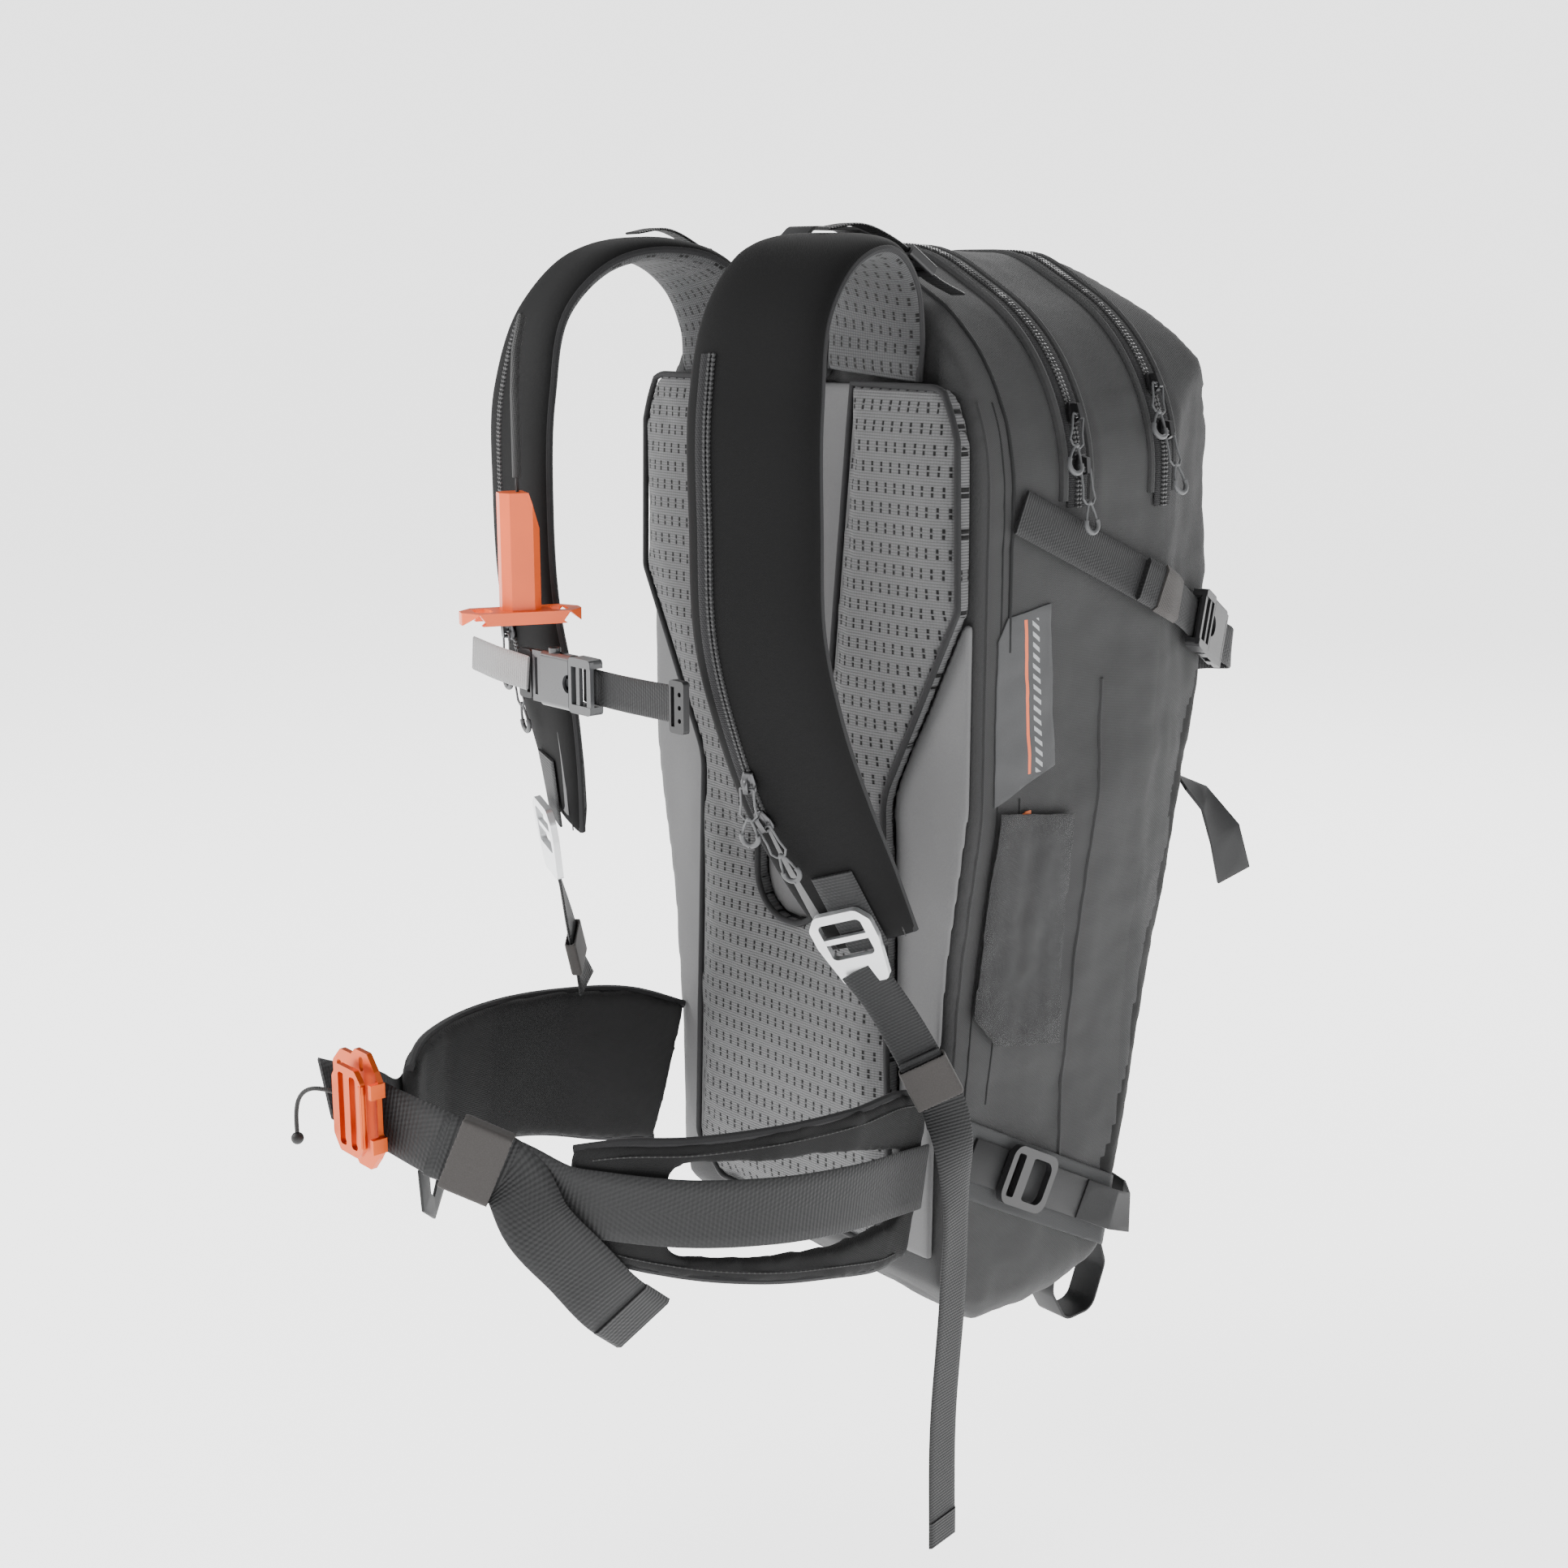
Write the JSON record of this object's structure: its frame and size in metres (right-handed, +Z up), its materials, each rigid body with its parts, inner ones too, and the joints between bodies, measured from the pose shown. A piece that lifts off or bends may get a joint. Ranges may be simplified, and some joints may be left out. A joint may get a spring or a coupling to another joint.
{
  "type": "avalanche airbag backpack",
  "caption": "Padded ski backpack with curved zips, shoulder straps, chest strap, hip belt with a hook buckle, side and ski straps, and a fan-driven airbag fired by a trigger grip.",
  "frame": {"origin": "underside of the haul loop at the crown, the point the pack hangs from", "axes": "+Z up, +Y away from the wearer's back, +X towards the wearer's left"},
  "size_m": [0.3006, 0.6195, 0.7575],
  "materials": {
    "body_fabric": "fine heathered woven polyamide, matt",
    "mesh": "spacer mesh with staggered slots",
    "softshell": "smooth knitted softshell",
    "strap_cover": "padded twill with bound edges",
    "webbing": "ribbed woven webbing",
    "webbing_light": "light ribbed webbing",
    "elastic": "warm grey elastic",
    "zip_tape": "coil zip on dark tape",
    "gunmetal": "gunmetal casting",
    "pull": "thin cord with moulded light grey end",
    "buckle": "moulded acetal",
    "buckle_dark": "moulded acetal",
    "adjuster": "pale cast frame",
    "orange_plate": "matt orange anodised",
    "orange_grip": "moulded orange grip",
    "cord": "black braided cord",
    "bead": "small bead",
    "steel": "steel",
    "aluminium": "plain",
    "sheet": "polyethylene sheet",
    "airbag": "folded coated polyamide in its sleeve",
    "inner_plastic": "moulded glass-filled polyamide",
    "capacitor": "sleeved capacitor cells"
  },
  "bodies": {
    "pack": {"airbag_bundle": "airbag", "back_lining_panels": "softshell", "back_mesh_pad": "mesh", "buckle_cord": "cord", "cable_housing": "cord", "capacitor_pack": "capacitor", "compression_sockets": "buckle_dark", "compression_webbing": "webbing", "control_box": "inner_plastic", "cord_bead": "bead", "fan_cover": "inner_plastic", "fan_housing": "inner_plastic", "fan_motor": "steel", "frame_sheet": "sheet", "frame_stays": "aluminium", "front_panel": "body_fabric", "front_zip": "zip_tape", "haul_loop": "webbing", "hip_buckle_receiver": "orange_plate", "hip_webbing": "webbing", "hip_wing_left": "strap_cover", "hip_wing_right": "strap_cover", "leg_pocket": "mesh", "leg_strap": "webbing", "load_lifter_buckles": "buckle_dark", "load_lifter_webbing": "webbing", "main_zip": "zip_tape", "pack_shell": "body_fabric", "shoulder_strap_left": "strap_cover", "shoulder_strap_right": "strap_cover", "shoulder_yoke": "softshell", "ski_buckles": "buckle_dark", "ski_patches": "softshell", "ski_webbing": "webbing", "strap_buckle_left": "adjuster", "strap_buckle_right": "adjuster", "strap_webbing": "webbing", "tool_loops": "webbing", "webbing_keepers": "elastic"},
    "trigger": {"trigger_handle": "orange_grip", "trigger_cable": "cord"},
    "rotor": {"impeller": "inner_plastic", "fan_shaft": "steel"},
    "power_button": {"power_button": "orange_grip"},
    "sternum_strap": {"sternum_clips": "buckle_dark", "sternum_webbing": "webbing_light", "sternum_socket": "buckle"},
    "sternum_prong": {"sternum_prong": "buckle"},
    "side_prong_left": {"compression_prong_left": "buckle_dark"},
    "side_prong_right": {"compression_prong_right": "buckle_dark"},
    "hip_ladder": {"hip_buckle_ladder": "orange_plate"},
    "belt_keeper": {"belt_keeper": "elastic"},
    "main_zip_slider_upper": {"main_zip_slider_upper": "gunmetal"},
    "main_zip_pull_upper": {"main_zip_pull_upper": "pull"},
    "main_zip_slider_lower": {"main_zip_slider_lower": "gunmetal"},
    "main_zip_pull_lower": {"main_zip_pull_lower": "pull"},
    "front_zip_slider_upper": {"front_zip_slider_upper": "gunmetal"},
    "front_zip_pull_upper": {"front_zip_pull_upper": "pull"},
    "front_zip_slider_lower": {"front_zip_slider_lower": "gunmetal"},
    "front_zip_pull_lower": {"front_zip_pull_lower": "pull"}
  },
  "joints": [
    {"name": "trigger_pull", "type": "slide", "parent": "pack", "child": "trigger", "axis": [0, 0, -1], "range_m": [0, 0.012]},
    {"name": "rotor_spin", "type": "hinge", "parent": "pack", "child": "rotor", "pos_m": [0, 0.034, -0.254], "axis": [0, 1, 0], "continuous": true},
    {"name": "power_press", "type": "slide", "parent": "pack", "child": "power_button", "axis": [0, -1, 0], "range_m": [0, 0.0015], "stiffness_N_per_m": 300},
    {"name": "main_zip_slider_upper_travel", "type": "hinge", "parent": "pack", "child": "main_zip_slider_upper", "pos_m": [0.02, 0.069, -0.14229], "axis": [0, -1, 0], "range_deg": [0, 38]},
    {"name": "main_zip_pull_upper_swing", "type": "hinge", "parent": "main_zip_slider_upper", "child": "main_zip_pull_upper", "pos_m": [0.13947, 0.069, -0.09975], "axis": [-0.1424, -0.9135, 0.381], "range_deg": [0, 100]},
    {"name": "main_zip_slider_lower_travel", "type": "hinge", "parent": "pack", "child": "main_zip_slider_lower", "pos_m": [0.02, 0.069, -0.14229], "axis": [0, -1, 0], "range_deg": [-9, 0]},
    {"name": "main_zip_pull_lower_swing", "type": "hinge", "parent": "main_zip_slider_lower", "child": "main_zip_pull_lower", "pos_m": [0.1461, 0.069, -0.12882], "axis": [0, -1, 0], "range_deg": [0, 100]},
    {"name": "front_zip_slider_upper_travel", "type": "hinge", "parent": "pack", "child": "front_zip_slider_upper", "pos_m": [0.02, 0.144, -0.14229], "axis": [0, -1, 0], "range_deg": [0, 31]},
    {"name": "front_zip_pull_upper_swing", "type": "hinge", "parent": "front_zip_slider_upper", "child": "front_zip_pull_upper", "pos_m": [0.1334, 0.144, -0.08551], "axis": [-0.1878, -0.9135, 0.3608], "range_deg": [0, 100]},
    {"name": "front_zip_slider_lower_travel", "type": "hinge", "parent": "pack", "child": "front_zip_slider_lower", "pos_m": [0.02, 0.144, -0.14229], "axis": [0, -1, 0], "range_deg": [-16.5, 0]},
    {"name": "front_zip_pull_lower_swing", "type": "hinge", "parent": "front_zip_slider_lower", "child": "front_zip_pull_lower", "pos_m": [0.14326, 0.144, -0.11247], "axis": [0, -1, 0], "range_deg": [0, 100]},
    {"name": "sternum_height", "type": "slide", "parent": "pack", "child": "sternum_strap", "axis": [0, -0.2402, 0.9707], "range_m": [-0.03, 0]},
    {"name": "sternum_release", "type": "slide", "parent": "sternum_strap", "child": "sternum_prong", "axis": [1, 0, 0], "range_m": [0, 0.018]},
    {"name": "side_release_left", "type": "slide", "parent": "pack", "child": "side_prong_left", "axis": [0.312, -0.8605, 0.4027], "range_m": [0, 0.018]},
    {"name": "side_release_right", "type": "slide", "parent": "pack", "child": "side_prong_right", "axis": [-0.312, -0.8605, 0.4027], "range_m": [0, 0.018]},
    {"name": "hip_unhook", "type": "hinge", "parent": "pack", "child": "hip_ladder", "pos_m": [0.0015, -0.3157, -0.449], "axis": [0, 0, 1], "range_deg": [0, 30]},
    {"name": "keeper_slide", "type": "slide", "parent": "pack", "child": "belt_keeper", "axis": [-0.6657, -0.6419, 0.3804], "range_m": [-0.003, 0.003]}
  ]
}
